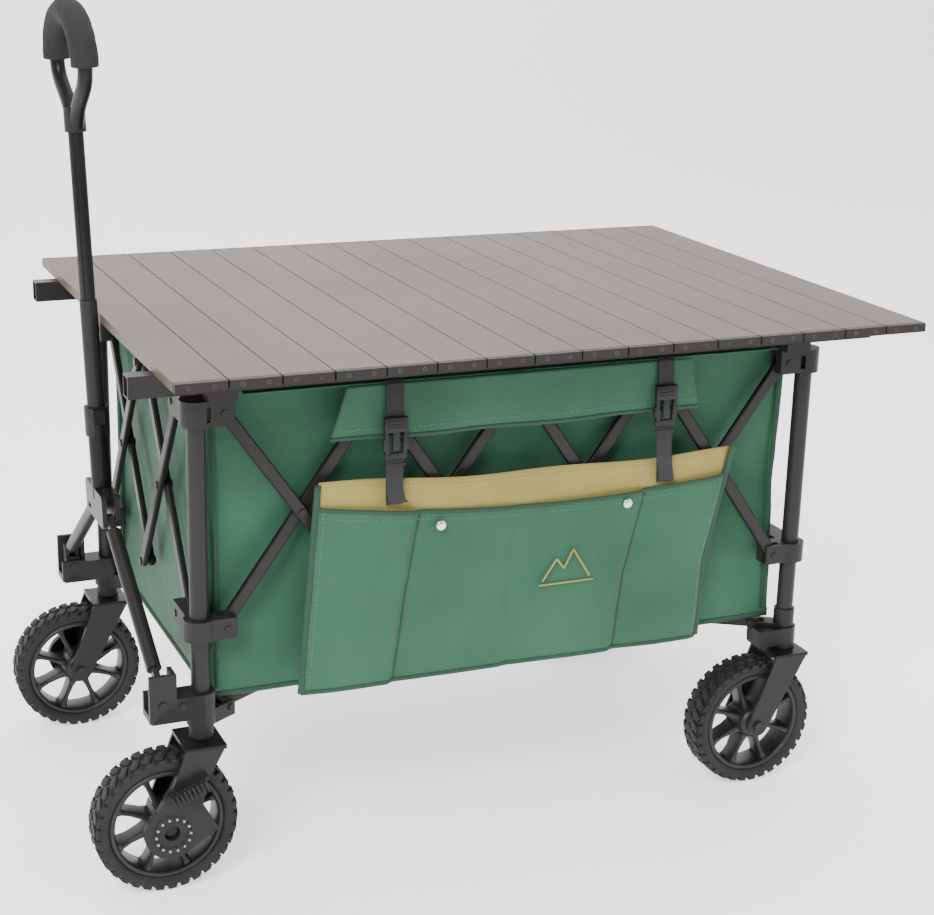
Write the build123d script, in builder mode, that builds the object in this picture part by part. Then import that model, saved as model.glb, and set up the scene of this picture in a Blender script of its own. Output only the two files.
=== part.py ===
from build123d import *
import math
import os

os.makedirs("parts", exist_ok=True)

# ---- driving dimensions, mm; +X from the handle end to the rear, +Z up, floor at Z = 0 ----
UNIT_W = 217.0
UNIT_H = 305.0
SIDE_ARM = 36.0
END_ARM = 67.0
POST_R = 13.0
BAR_W = 18.0
BAR_T = 9.0
LAYER_GAP = 2.0
PIN_R = 3.4
BRACKET_H = 36.0
SLIDER_H = 30.0
COLLAR_WALL = 8.5
WHEEL_R = 101.5
WHEEL_W = 52.0
TYRE_T = 21.5
RIM_T = 7.0
HUB_R = 24.0
TRAIL = 56.0
AXLE_R = 5.0
STEM_R = 8.0
PLATE_T = 6.0
SLAT_PITCH = 70.0
SLAT_T = 13.0
TABLE_W = 826.0
TABLE_OVERHANG = 90.0
TABLE_CLEAR = 0.7
MID_R = 12.4
LEAN = 2.1
YOKE_H = 24.0
YOKE_Y = 42.0
YOKE_TOP = 184.0
GRIP_TWIST = 5.0
GRIP_HALF = 64.0
CLOTH = 3.0
STRUT_IN = 38.0
POCKET_FRONT_LOW = 333.0
POCKET_FRONT_TOP = 308.0
POCKET_REAR_TOP = 343.0
POCKET_WAIST = 301.0
POCKET_FOOT = 297.0
POCKET_DROP = 121.0
FLAP_TOP_HALF = 262.0
FLAP_FRONT = 290.0
FLAP_REAR = 272.0
FLAP_DROP = 69.0
STRAP_INSET = 45.0

# ---- derived ----
LAYER_OUT = BAR_T / 2 + LAYER_GAP / 2 + 0.5
LAYER_IN = -(BAR_T / 2 + LAYER_GAP / 2 - 0.5)
LOBE_W = 2 * BAR_T + 13.0
LOBE_REACH = BAR_W / 2 + 5.0
SLOT_CLEAR = BAR_W / 2 + 2.0
COLLAR_R = POST_R + COLLAR_WALL
RIM_R = WHEEL_R - TYRE_T
POST_X = 2 * UNIT_W + SIDE_ARM
POST_Y = UNIT_W + END_ARM
BAR_L = math.hypot(UNIT_W, UNIT_H)
SIDE_X0 = -2 * UNIT_W
END_Y0 = -UNIT_W
PLATE_Z = 2 * WHEEL_R + 7.0
FOOT_LOW = PLATE_Z + 28.0
FOOT_TOP = FOOT_LOW + 48.0
REAR_LOW = PLATE_Z + PLATE_T + 1.0
REAR_TOP = REAR_LOW + 35.0
HEM_Z = PLATE_Z + 56.0
STRUT_Z = HEM_Z - 14.0
SWING_Z = FOOT_LOW + 40.0
SWING_X = -(POST_X + 57.0)
PIV_LOW = FOOT_TOP + 90.0
PIV_TOP = PIV_LOW + UNIT_H
BRACKET_TOP = PIV_TOP + BAR_W / 2 + 10.0
RIM_Z = BRACKET_TOP + 6.0
TABLE_TOP = BRACKET_TOP + 57.0
SLAT_W = SLAT_PITCH - 1.6
RAIL_Y = POST_Y + 16.0
RAIL_X = POST_X + 95.0
WALL_Y = POST_Y - 22.0
WALL_X = POST_X - 18.0
SLAT_Z = TABLE_TOP - SLAT_T
TABLE_X0 = SWING_X - (SLAT_Z - SWING_Z) * math.tan(math.radians(LEAN)) + MID_R + TABLE_CLEAR
SLATS = round(2 * (POST_X + TABLE_OVERHANG) / SLAT_PITCH)
STRAP_X = FLAP_TOP_HALF - STRAP_INSET
PANEL_Y = -(POST_Y + 20.0)
NAMES = {(-1, -1): "front_near", (-1, 1): "front_far", (1, -1): "rear_near", (1, 1): "rear_far"}


def save(part, node):
    part.label = node
    export_step(part, f"parts/{node}.step")


def bar_node(node, start, end, normal, pins, step):
    # flat scissor bar between two pivots; pins lists the pivots whose rivet this bar carries
    a = Vector(*start)
    b = Vector(*end)
    mid = (a + b) * 0.5
    face = Plane(origin=mid, x_dir=(b - a).normalized(), z_dir=normal)
    with BuildPart() as bar:
        with BuildSketch(face):
            SlotCenterToCenter(BAR_L, BAR_W)
        extrude(amount=BAR_T / 2, both=True)
        fillet(bar.edges().filter_by(GeomType.LINE).filter_by(Axis(mid, tuple(b - a))), 2.5)
        for k, u in enumerate((-BAR_L / 2, 0.0, BAR_L / 2)):
            with BuildSketch(face):
                with Locations((u, 0)):
                    Circle(PIN_R + (0.05 if k in pins else 0.1))
            extrude(amount=BAR_T, both=True, mode=Mode.SUBTRACT)
        for k, u in enumerate((-BAR_L / 2, 0.0, BAR_L / 2)):
            if k in pins:
                low = min(0.0, step) - BAR_T / 2 - 0.3
                high = max(0.0, step) + BAR_T / 2 + 0.3
                with BuildSketch(face.offset(low)):
                    with Locations((u, 0)):
                        Circle(PIN_R)
                extrude(amount=high - low)
                with BuildSketch(face.offset(low - 1.6)):
                    with Locations((u, 0)):
                        Circle(6.0)
                extrude(amount=1.6)
                with BuildSketch(face.offset(high)):
                    with Locations((u, 0)):
                        Circle(6.0)
                extrude(amount=1.6)
    bar.part.label = node
    export_step(bar.part, f"parts/{node}.step")


def side_bars(name, sy):
    step = LAYER_IN - LAYER_OUT
    for i in range(4):
        x0 = SIDE_X0 + i * UNIT_W
        x1 = x0 + UNIT_W
        yo = sy * (POST_Y + LAYER_OUT)
        yi = sy * (POST_Y + LAYER_IN)
        d_pins = [1] + ([0] if i > 0 else []) + ([2] if i < 3 else [])
        bar_node(f"{name}_bar_d{i}", (x0, yo, PIV_TOP), (x1, yo, PIV_LOW), (0, sy, 0), d_pins, step)
        bar_node(f"{name}_bar_u{i}", (x0, yi, PIV_LOW), (x1, yi, PIV_TOP), (0, sy, 0), [], step)


def end_bars(name, sx):
    step = LAYER_IN - LAYER_OUT
    for i in range(2):
        y0 = END_Y0 + i * UNIT_W
        y1 = y0 + UNIT_W
        xo = sx * (POST_X + LAYER_OUT)
        xi = sx * (POST_X + LAYER_IN)
        d_pins = [1] + ([0] if i > 0 else []) + ([2] if i < 1 else [])
        bar_node(f"{name}_bar_d{i}", (xo, y0, PIV_TOP), (xo, y1, PIV_LOW), (sx, 0, 0), d_pins, step)
        bar_node(f"{name}_bar_u{i}", (xi, y0, PIV_LOW), (xi, y1, PIV_TOP), (sx, 0, 0), [], step)


def lobe_slots(sx, sy, z0, z1, side_off, end_off):
    # slots that take the bar ends, one in the side lobe and one in the end lobe
    ey = sy * UNIT_W
    sidex = sx * (2 * UNIT_W)
    zc = (z0 + z1) / 2
    shift = (SLOT_CLEAR - LOBE_REACH - 9.0) / 2
    length = SLOT_CLEAR + LOBE_REACH + 9.0
    with Locations((sidex + sx * shift, sy * (POST_Y + side_off), zc)):
        Box(length, BAR_T + 1.6, z1 - z0, mode=Mode.SUBTRACT)
    with Locations((sx * (POST_X + end_off), ey + sy * shift, zc)):
        Box(BAR_T + 1.6, length, z1 - z0, mode=Mode.SUBTRACT)


def lobe_pins(sx, sy, z, side_off, end_off):
    # one rivet through each lobe, loose by a hair in its cheeks
    half = LOBE_W / 2 + 1.1
    sidex = sx * 2 * UNIT_W
    endy = sy * UNIT_W
    with Locations(Location((sidex, sy * POST_Y, z), (90, 0, 0))):
        Cylinder(PIN_R + 0.05, 60, mode=Mode.SUBTRACT)
    with Locations(Location((sx * POST_X, endy, z), (0, 90, 0))):
        Cylinder(PIN_R + 0.05, 60, mode=Mode.SUBTRACT)
    with Locations(Location((sidex, sy * POST_Y, z), (90, 0, 0))):
        Cylinder(PIN_R, 2 * half)
        with Locations((0, 0, half), (0, 0, -half)):
            Cylinder(5.0, 1.2)
    with Locations(Location((sx * POST_X, endy, z), (0, 90, 0))):
        Cylinder(PIN_R, 2 * half)
        with Locations((0, 0, half), (0, 0, -half)):
            Cylinder(5.0, 1.2)


def lobes(sx, sy, z0, z1):
    # solid arms from the collar to past both pivots
    zc = (z0 + z1) / 2
    h = z1 - z0
    xin = 2 * UNIT_W - LOBE_REACH
    yin = UNIT_W - LOBE_REACH
    with Locations((sx * (POST_X + xin) / 2, sy * POST_Y, zc)):
        Box(POST_X - xin, LOBE_W, h)
    with Locations((sx * POST_X, sy * (POST_Y + yin) / 2, zc)):
        Box(LOBE_W, POST_Y - yin, h)
    with Locations((sx * POST_X, sy * POST_Y, zc)):
        Cylinder(COLLAR_R, h)


def post_node(sx, sy):
    # tube with its top bracket; bars hang in the slots below the bracket's roof
    side_off = LAYER_OUT if sx < 0 else LAYER_IN
    end_off = LAYER_OUT if sy < 0 else LAYER_IN
    z1 = BRACKET_TOP
    z0 = z1 - BRACKET_H
    low = FOOT_LOW + 16 if sx < 0 else REAR_LOW + 12
    with BuildPart() as post:
        lobes(sx, sy, z0, z1)
        fillet(post.edges().filter_by(Axis.Z), 3.0)
        lobe_slots(sx, sy, z0 - 8, PIV_TOP + SLOT_CLEAR, side_off, end_off)
        lobe_pins(sx, sy, PIV_TOP, side_off, end_off)
        with Locations((sx * POST_X, sy * POST_Y, (z1 - 10.0 + z0 - 20) / 2)):
            Cylinder(POST_R + 0.05, z1 - 10.0 - z0 + 20, mode=Mode.SUBTRACT)
        with Locations((sx * (POST_X - 12), sy * (POST_Y + 16.0), PIV_TOP)):
            Box(9, 6, 20, mode=Mode.SUBTRACT)
        with Locations((sx * POST_X, sy * POST_Y, (low + z1 - 10.1) / 2)):
            Cylinder(POST_R, z1 - 10.1 - low)
            Cylinder(POST_R - 1.5, z1 - 10.1 - low, mode=Mode.SUBTRACT)
    node = f"post_{NAMES[(sx, sy)]}"
    post.part.label = node
    export_step(post.part, f"parts/{node}.step")


def slider_node(sx, sy):
    side_off = LAYER_IN if sx < 0 else LAYER_OUT
    end_off = LAYER_IN if sy < 0 else LAYER_OUT
    z0 = PIV_LOW - LOBE_REACH
    z1 = z0 + SLIDER_H
    with BuildPart() as slider:
        lobes(sx, sy, z0, z1)
        fillet(slider.edges().filter_by(Axis.Z), 3.0)
        lobe_slots(sx, sy, PIV_LOW - SLOT_CLEAR, z1 + 8, side_off, end_off)
        lobe_pins(sx, sy, PIV_LOW, side_off, end_off)
        with Locations((sx * POST_X, sy * POST_Y, (z0 + z1) / 2)):
            Cylinder(POST_R + 0.3, SLIDER_H + 2, mode=Mode.SUBTRACT)
    node = f"slider_{NAMES[(sx, sy)]}"
    slider.part.label = node
    export_step(slider.part, f"parts/{node}.step")


def strut_angle(sx, sy):
    return math.degrees(math.atan2(-sy * POST_Y, -sx * POST_X))


def strut_lobe(sx, sy, z0, z1):
    # forked arm towards the floor strut's centre line
    ang = strut_angle(sx, sy)
    with Locations(Location((sx * POST_X, sy * POST_Y, (z0 + z1) / 2), (0, 0, ang))):
        with Locations((30, 0, 0)):
            Box(50, 26, z1 - z0)


def strut_lobe_cut(sx, sy, z0, z1):
    ang = strut_angle(sx, sy)
    with Locations(Location((sx * POST_X, sy * POST_Y, (z0 + z1) / 2), (0, 0, ang))):
        with Locations((45, 0, 4)):
            Box(30, 12, z1 - z0, mode=Mode.SUBTRACT)


def strut_pin(sx, sy, z):
    ang = strut_angle(sx, sy)
    with Locations(Location((sx * POST_X, sy * POST_Y, z), (0, 0, ang))):
        with Locations(Location((47, 0, 0), (90, 0, 0))):
            Cylinder(3.05, 40, mode=Mode.SUBTRACT)
            Cylinder(3.0, 30)
            with Locations((0, 0, 14.6), (0, 0, -14.6)):
                Cylinder(5.5, 2.0)


def front_foot(sx, sy):
    cx = sx * POST_X
    cy = sy * POST_Y
    with BuildPart() as foot:
        with Locations((cx, cy, (FOOT_LOW + FOOT_TOP) / 2)):
            Cylinder(POST_R + 7.0, FOOT_TOP - FOOT_LOW)
        with Locations((cx, cy, (FOOT_LOW - 20 + FOOT_TOP) / 2)):
            Cylinder(POST_R + 4.0, FOOT_TOP - FOOT_LOW + 20)
        with Locations(((SWING_X - 16 + cx) / 2, cy, SWING_Z - 9.0)):
            Box(cx - SWING_X + 16, 40, 34)
        with Locations((SWING_X, cy, SWING_Z + 10.0)):
            Box(38, 40, 68)
        strut_lobe(sx, sy, FOOT_LOW - 4, FOOT_LOW + 18)
        with Locations((SWING_X - 8, cy, SWING_Z + 19.0)):
            Box(42.0, 28.0, 66, mode=Mode.SUBTRACT)
        with Locations((SWING_X, cy - sy * 17, SWING_Z + 30.0)):
            Box(60, 10, 40, mode=Mode.SUBTRACT)
        strut_lobe_cut(sx, sy, FOOT_LOW - 4, FOOT_LOW + 18)
        strut_pin(sx, sy, STRUT_Z - 4)
        with Locations((cx, cy, FOOT_TOP - 10)):
            Cylinder(POST_R + 0.05, 2 * (FOOT_TOP - 10 - FOOT_LOW - 15.9), mode=Mode.SUBTRACT)
        with Locations((cx, cy, FOOT_LOW - 4)):
            Cylinder(STEM_R + 0.05, 34.0, mode=Mode.SUBTRACT)
        with Locations(Location((SWING_X, cy, SWING_Z), (90, 0, 0))):
            Cylinder(4.05, 60, mode=Mode.SUBTRACT)
            Cylinder(4.0, 41.0)
            with Locations((0, 0, 21.5), (0, 0, -21.5)):
                Cylinder(6.5, 2.0)
        with Locations(Location((SWING_X + 27, cy + sy * 20.5, SWING_Z - 4), (90, 0, 0))):
            Cylinder(4.5, 2.0)
    node = f"foot_{NAMES[(sx, sy)]}"
    foot.part.label = node
    export_step(foot.part, f"parts/{node}.step")


def rear_foot(sx, sy):
    cx = sx * POST_X
    cy = sy * POST_Y
    with BuildPart() as foot:
        with Locations((cx, cy, (REAR_LOW + REAR_TOP) / 2)):
            Cylinder(POST_R + 6.5, REAR_TOP - REAR_LOW)
        with Locations((cx, cy, REAR_TOP + 14)):
            Cylinder(POST_R + 3.0, 30)
        with Locations((cx - 26, cy, (REAR_LOW + REAR_TOP) / 2 + 3)):
            Box(52, 34, REAR_TOP - REAR_LOW - 8)
        strut_lobe(sx, sy, REAR_LOW + 9, REAR_TOP + 5)
        strut_lobe_cut(sx, sy, REAR_LOW + 9, REAR_TOP + 5)
        strut_pin(sx, sy, STRUT_Z - 4)
        with Locations((cx, cy, REAR_TOP + 20)):
            Cylinder(POST_R + 0.05, 2 * (REAR_TOP + 20 - REAR_LOW - 11.9), mode=Mode.SUBTRACT)
    node = f"foot_{NAMES[(sx, sy)]}"
    foot.part.label = node
    export_step(foot.part, f"parts/{node}.step")


def fork_node(sx, sy):
    # U-shaped wheel fork with its axle bolt; the front ones have a swivel stem
    cx = sx * POST_X
    cy = sy * POST_Y
    ax = cx - TRAIL
    az = WHEEL_R
    top = PLATE_Z + PLATE_T
    inner = WHEEL_W / 2 + 6.0
    dx, dz = -TRAIL, az - top
    n = math.hypot(dx, dz)
    ux, uz = -dz / n * 17.0, dx / n * 17.0
    with BuildPart() as fork:
        with Locations((cx - 3, cy, PLATE_Z + PLATE_T / 2)):
            Box(58, 2 * inner + 10, PLATE_T)
        for side in (-1, 1):
            y0 = cy + side * inner
            with BuildSketch(Plane(origin=(0, y0, 0), x_dir=(1, 0, 0), z_dir=(0, -1, 0))):
                with BuildLine():
                    Polyline((cx - 30, top), (cx + 26, top), (ax + ux, az + uz), (ax - ux, az - uz), close=True)
                make_face()
                with Locations((ax, az)):
                    Circle(17.0)
            extrude(amount=-side * 5.0)
        with Locations(Location((ax, cy, az), (90, 0, 0))):
            Cylinder(AXLE_R + 0.05, 2 * inner + 30, mode=Mode.SUBTRACT)
            Cylinder(AXLE_R, 2 * inner + 11)
            with Locations((0, 0, inner + 7.7), (0, 0, -inner - 7.7)):
                Cylinder(8.5, 4.4)
        if sx < 0:
            with Locations((cx, cy, (top + FOOT_LOW + 12) / 2)):
                Cylinder(STEM_R, FOOT_LOW + 12 - top)
        else:
            with Locations((cx, cy, top + 0.3)):
                Cylinder(12.0, 0.6)
    node = f"fork_{NAMES[(sx, sy)]}"
    fork.part.label = node
    export_step(fork.part, f"parts/{node}.step")


def wheel_node(sx, sy):
    # moulded rim with eight spokes and, around it, a rubber tyre
    ax = sx * POST_X - TRAIL
    cy = sy * POST_Y
    spin = Location((ax, cy, WHEEL_R), (90, 0, 0))
    half = WHEEL_W / 2
    with BuildPart() as wheel:
        with Locations(spin):
            Cylinder(WHEEL_R, WHEEL_W)
            Cylinder(RIM_R, WHEEL_W + 2, mode=Mode.SUBTRACT)
        chamfer(wheel.edges().filter_by(GeomType.CIRCLE).group_by(SortBy.RADIUS)[-1], 7.0)
        with Locations(spin):
            Cylinder(RIM_R - 0.1, WHEEL_W - 8)
            Cylinder(RIM_R - RIM_T, WHEEL_W, mode=Mode.SUBTRACT)
            Cylinder(HUB_R, WHEEL_W + 6)
            with PolarLocations(0, 8):
                with Locations(((HUB_R + RIM_R - 8.0) / 2, 0, 0)):
                    Box(RIM_R - HUB_R - 2.0, 9, WHEEL_W - 24)
            Cylinder(AXLE_R + 0.06, WHEEL_W + 20, mode=Mode.SUBTRACT)
    node = f"wheel_{NAMES[(sx, sy)]}"
    wheel.part.label = node
    export_step(wheel.part, f"parts/{node}.step")


def brake_node(sx, sy):
    # pedal cover hung on the axle outside the outer fork arm
    cx = sx * POST_X
    ax = cx - TRAIL
    y0 = sy * (POST_Y + WHEEL_W / 2 + 6.0 + 5.0 + 0.6)
    with BuildPart() as brake:
        with BuildSketch(Plane(origin=(0, y0, 0), x_dir=(1, 0, 0), z_dir=(0, -1, 0))):
            with Locations((ax, WHEEL_R)):
                Circle(38.0)
            with BuildLine():
                Polyline((ax - 38, WHEEL_R + 4), (ax - 4, WHEEL_R + 58), (ax + 52, WHEEL_R + 78),
                         (ax + 44, WHEEL_R + 36), (ax + 66, WHEEL_R - 4), (ax + 24, WHEEL_R - 30), close=True)
            make_face()
        extrude(amount=-sy * 12.0)
        with Locations(Location((ax, y0, WHEEL_R), (90, 0, 0))):
            Cylinder(11.0, 60.0, mode=Mode.SUBTRACT)
        for k in range(9):
            t = k / 8.0
            bx = ax + 2 + 46 * t
            bz = WHEEL_R + 56 + 18 * t
            with Locations(Location((bx, y0 + sy * 15.0, bz - 8), (0, -22, 0))):
                Box(2.4, 9.0, 18.0)
    node = f"brake_{NAMES[(sx, sy)]}"
    brake.part.label = node
    export_step(brake.part, f"parts/{node}.step")


side_bars("near", -1)
side_bars("far", 1)
end_bars("front", -1)
end_bars("rear", 1)
for corner in NAMES:
    post_node(*corner)
    slider_node(*corner)
    fork_node(*corner)
    wheel_node(*corner)
    if corner[0] < 0:
        front_foot(*corner)
        brake_node(*corner)
    else:
        rear_foot(*corner)


# ---- pull handle, modelled upright about the swing axis and then leaned ----
HANDLE = Plane(
    origin=(SWING_X, 0, SWING_Z),
    x_dir=(math.cos(math.radians(LEAN)), 0, math.sin(math.radians(LEAN))),
    z_dir=(-math.sin(math.radians(LEAN)), 0, math.cos(math.radians(LEAN))),
).location
YOKE_LEN = math.hypot(POST_Y - YOKE_Y, YOKE_TOP - YOKE_H)


def yoke_side(side, name):
    base = (0, side * POST_Y, 0)
    pin = (0, side * POST_Y, YOKE_H)
    with BuildPart() as raw_block:
        with Locations(Location(base, (90, 0, 0))):
            Cylinder(11.0, 25)
        with Locations((0, side * POST_Y, 7.5)):
            Box(22, 25, 15)
        for sx in (-1, 1):
            with Locations((sx * 8.0, side * POST_Y, 23)):
                Box(6, 18, 22)
        with Locations(Location(base, (90, 0, 0))):
            Cylinder(4.1, 60, mode=Mode.SUBTRACT)
        with Locations(Location(pin, (0, 90, 0))):
            Cylinder(3.05, 40, mode=Mode.SUBTRACT)
            Cylinder(3.0, 22)
    with BuildPart() as block:
        add(HANDLE * raw_block.part)
    block.part.label = f"yoke_pivot_{name}"
    export_step(block.part, f"parts/yoke_pivot_{name}.step")

    a = Vector(*pin)
    b = Vector(0, side * YOKE_Y, YOKE_TOP)
    d = (b - a).normalized()
    mid = (a + b) * 0.5
    flat = Plane(origin=mid, x_dir=d, z_dir=(1, 0, 0))
    with BuildPart() as raw_tube:
        with BuildSketch(flat):
            SlotCenterToCenter(YOKE_LEN, 15.0)
        extrude(amount=4.4, both=True)
        with BuildSketch(Plane(origin=a + d * 26, z_dir=d)):
            Circle(10.5)
        extrude(amount=YOKE_LEN - 50)
        for u in (-YOKE_LEN / 2, YOKE_LEN / 2):
            with BuildSketch(flat):
                with Locations((u, 0)):
                    Circle(3.1 if u < 0 else 3.05)
            extrude(amount=30, both=True, mode=Mode.SUBTRACT)
        with BuildSketch(flat.offset(-13.0)):
            with Locations((YOKE_LEN / 2, 0)):
                Circle(3.0)
        extrude(amount=26.0)
    with BuildPart() as tube:
        add(HANDLE * raw_tube.part)
    tube.part.label = f"yoke_tube_{name}"
    export_step(tube.part, f"parts/yoke_tube_{name}.step")


yoke_side(-1, "near")
yoke_side(1, "far")

LOWER_TOP = 343.0
with BuildPart() as raw_base:
    for side in (-1, 1):
        with Locations((side * 9.5, 0, YOKE_TOP + 13)):
            Box(7.0, 108, 50)
    fillet(raw_base.edges().filter_by(Axis.X), 8.0)
    with Locations((0, 0, YOKE_TOP + 27)):
        Box(14, 34, 24)
    with Locations((0, 0, (YOKE_TOP + 20 + LOWER_TOP) / 2)):
        Cylinder(14.2, LOWER_TOP - YOKE_TOP - 20)
    with Locations((0, 0, LOWER_TOP - 21)):
        Cylinder(17.5, 42)
    with Locations((0, -15, LOWER_TOP - 12)):
        Box(16, 12, 22)
    with Locations((0, 0, YOKE_TOP + 42 + 100)):
        Cylinder(MID_R + 0.3, 200, mode=Mode.SUBTRACT)
    with Locations(Location((0, -YOKE_Y, YOKE_TOP), (0, 90, 0))):
        Cylinder(3.1, 60, mode=Mode.SUBTRACT)
    with BuildSketch(Plane.YZ.offset(-30)):
        with Locations((YOKE_Y - 7.5, YOKE_TOP)):
            SlotOverall(23.0, 6.6)
    extrude(amount=60, mode=Mode.SUBTRACT)
with BuildPart() as handle_base:
    add(HANDLE * raw_base.part)
save(handle_base.part, "handle_base")

MID_LOW = 290.0
MID_TOP = 500.0
with BuildPart() as raw_mid:
    with Locations((0, 0, (MID_LOW + MID_TOP) / 2)):
        Cylinder(MID_R, MID_TOP - MID_LOW)
        Cylinder(MID_R - 1.5, MID_TOP - MID_LOW + 2, mode=Mode.SUBTRACT)
with BuildPart() as handle_mid:
    add(HANDLE * raw_mid.part)
save(handle_mid.part, "handle_mid")

GRIP_LOW = 748.0
GRIP_BEND = 800.0
GRIP_ARCH = 833.0
UP_LOW = 452.0
with BuildPart() as raw_upper:
    with Locations((0, 0, (UP_LOW + GRIP_LOW) / 2)):
        Cylinder(10.6, GRIP_LOW - UP_LOW)
        Cylinder(8.4, GRIP_LOW - UP_LOW + 2, mode=Mode.SUBTRACT)
        with PolarLocations(11.2, 6):
            Cylinder(1.6, GRIP_LOW - UP_LOW + 2, mode=Mode.SUBTRACT)

with BuildPart() as raw_grip:
    with BuildLine() as arm:
        Spline((0, 6, GRIP_LOW - 4), (0, 24, GRIP_LOW + 26), (0, GRIP_HALF - 12, GRIP_BEND),
               (0, GRIP_HALF, GRIP_ARCH + 2), tangents=[(0, 0.35, 1), (0, 0, 1)])
    with BuildSketch(Plane(origin=arm.line @ 0, z_dir=arm.line % 0)):
        Ellipse(12.5, 10.0)
    sweep(path=arm.line)
    mirror(about=Plane.XZ)
    with Locations((0, 0, GRIP_LOW + 5)):
        Cylinder(15.0, 34)
    with Locations((0, 0, GRIP_LOW - 30)):
        Cylinder(10.65, 52, mode=Mode.SUBTRACT)
TWIST = HANDLE * Location((0, 0, 0), (0, 0, GRIP_TWIST))
with BuildPart() as handle_upper:
    add(HANDLE * raw_upper.part)
    add(TWIST * raw_grip.part)
save(handle_upper.part, "handle_upper")

with BuildPart() as raw_foam:
    with BuildSketch(Plane(origin=(0, GRIP_HALF, GRIP_ARCH), z_dir=(0, 0, 1))):
        Circle(19.0)
    revolve(axis=Axis((0, 0, GRIP_ARCH), (1, 0, 0)), revolution_arc=180)
    for side in (-1, 1):
        with Locations((0, side * GRIP_HALF, GRIP_ARCH - 2.5)):
            Cylinder(19.0, 5.0)
        with Locations((0, side * GRIP_HALF, GRIP_ARCH - 1.5)):
            Cylinder(12.8, 7.1, mode=Mode.SUBTRACT)
with BuildPart() as grip_foam:
    add(TWIST * raw_foam.part)
save(grip_foam.part, "grip_foam")

# ---- table top ----
with BuildPart() as table_slats:
    for i in range(SLATS):
        xc = TABLE_X0 + SLAT_PITCH * (i + 0.5)
        with Locations((xc, 0, SLAT_Z + SLAT_T / 2)):
            Box(SLAT_W, TABLE_W - 17.0, SLAT_T)
            Box(SLAT_W - 2.4, TABLE_W - 16.0, SLAT_T - 2.4, mode=Mode.SUBTRACT)
        for side in (-1, 1):
            with Locations((xc, side * (TABLE_W / 2 - 4.0), SLAT_Z + SLAT_T / 2)):
                Box(SLAT_W - 0.6, 8.0, SLAT_T - 0.4)
save(table_slats.part, "table_slats")

with BuildPart() as table_rails:
    for side in (-1, 1):
        with Locations((0, side * RAIL_Y, SLAT_Z - 15.3)):
            Box(2 * RAIL_X, 25, 30)
            Box(2 * RAIL_X + 2, 21, 26, mode=Mode.SUBTRACT)
        for x in (-POST_X + 30, POST_X - 30):
            with Locations((x, side * RAIL_Y, SLAT_Z - 36.9)):
                Box(40, 25, 13)
save(table_rails.part, "table_rails")

# ---- fabric and webbing ----
with BuildPart() as basket:
    for side in (-1, 1):
        with Locations((0, side * (WALL_Y - CLOTH / 2), (HEM_Z + RIM_Z) / 2)):
            Box(2 * WALL_X, CLOTH, RIM_Z - HEM_Z)
        with Locations((side * (WALL_X - CLOTH / 2), 0, (HEM_Z + RIM_Z) / 2)):
            Box(CLOTH, 2 * (WALL_Y - CLOTH) - 1, RIM_Z - HEM_Z)
    with Locations((0, 0, HEM_Z + 2)):
        Box(2 * (WALL_X - CLOTH) - 1, 2 * (WALL_Y - CLOTH) - 1, 4)
save(basket.part, "basket")

with BuildPart() as pocket_panel:
    with BuildSketch(Plane(origin=(0, PANEL_Y, 0), x_dir=(1, 0, 0), z_dir=(0, -1, 0))):
        with BuildLine():
            Polyline((-POCKET_FRONT_LOW, HEM_Z + 2), (-POCKET_FRONT_TOP, PIV_TOP - POCKET_DROP),
                     (POCKET_REAR_TOP, PIV_TOP - POCKET_DROP), (POCKET_WAIST, PIV_LOW + 24),
                     (POCKET_FOOT, HEM_Z + 2), close=True)
        make_face()
    extrude(amount=CLOTH)
    with BuildSketch(Plane(origin=(0, PANEL_Y, 0), x_dir=(1, 0, 0), z_dir=(0, -1, 0))):
        with BuildLine():
            Polyline((-FLAP_FRONT, PIV_TOP - FLAP_DROP), (-FLAP_TOP_HALF, RIM_Z),
                     (FLAP_TOP_HALF, RIM_Z), (FLAP_REAR, PIV_TOP - FLAP_DROP), close=True)
        make_face()
    extrude(amount=CLOTH)
save(pocket_panel.part, "pocket_panel")

with BuildPart() as straps:
    for x in (-STRAP_X, STRAP_X):
        with Locations((x, PANEL_Y - CLOTH - 2.0, PIV_TOP - 56)):
            Box(25, 2, 160)
        with Locations((x, PANEL_Y - CLOTH - 7.5, PIV_TOP - 41)):
            Box(32, 8, 58)
save(straps.part, "straps")

with BuildPart() as floor_struts:
    for corner in NAMES:
        sx, sy = corner
        ang = strut_angle(sx, sy)
        full = math.hypot(POST_X, POST_Y)
        with Locations(Location((0, 0, STRUT_Z), (0, 0, ang + 180))):
            with Locations(((36 + full - STRUT_IN) / 2, 0, 0)):
                Box(full - STRUT_IN - 36, 9, 16)
            with Locations(Location((full - 47, 0, -4), (90, 0, 0))):
                Cylinder(3.2, 20, mode=Mode.SUBTRACT)
    with Locations((0, 0, STRUT_Z)):
        Cylinder(34, 18)
save(floor_struts.part, "floor_struts")
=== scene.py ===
import bpy
import bmesh
import math
from mathutils import Matrix, Vector, noise


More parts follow.
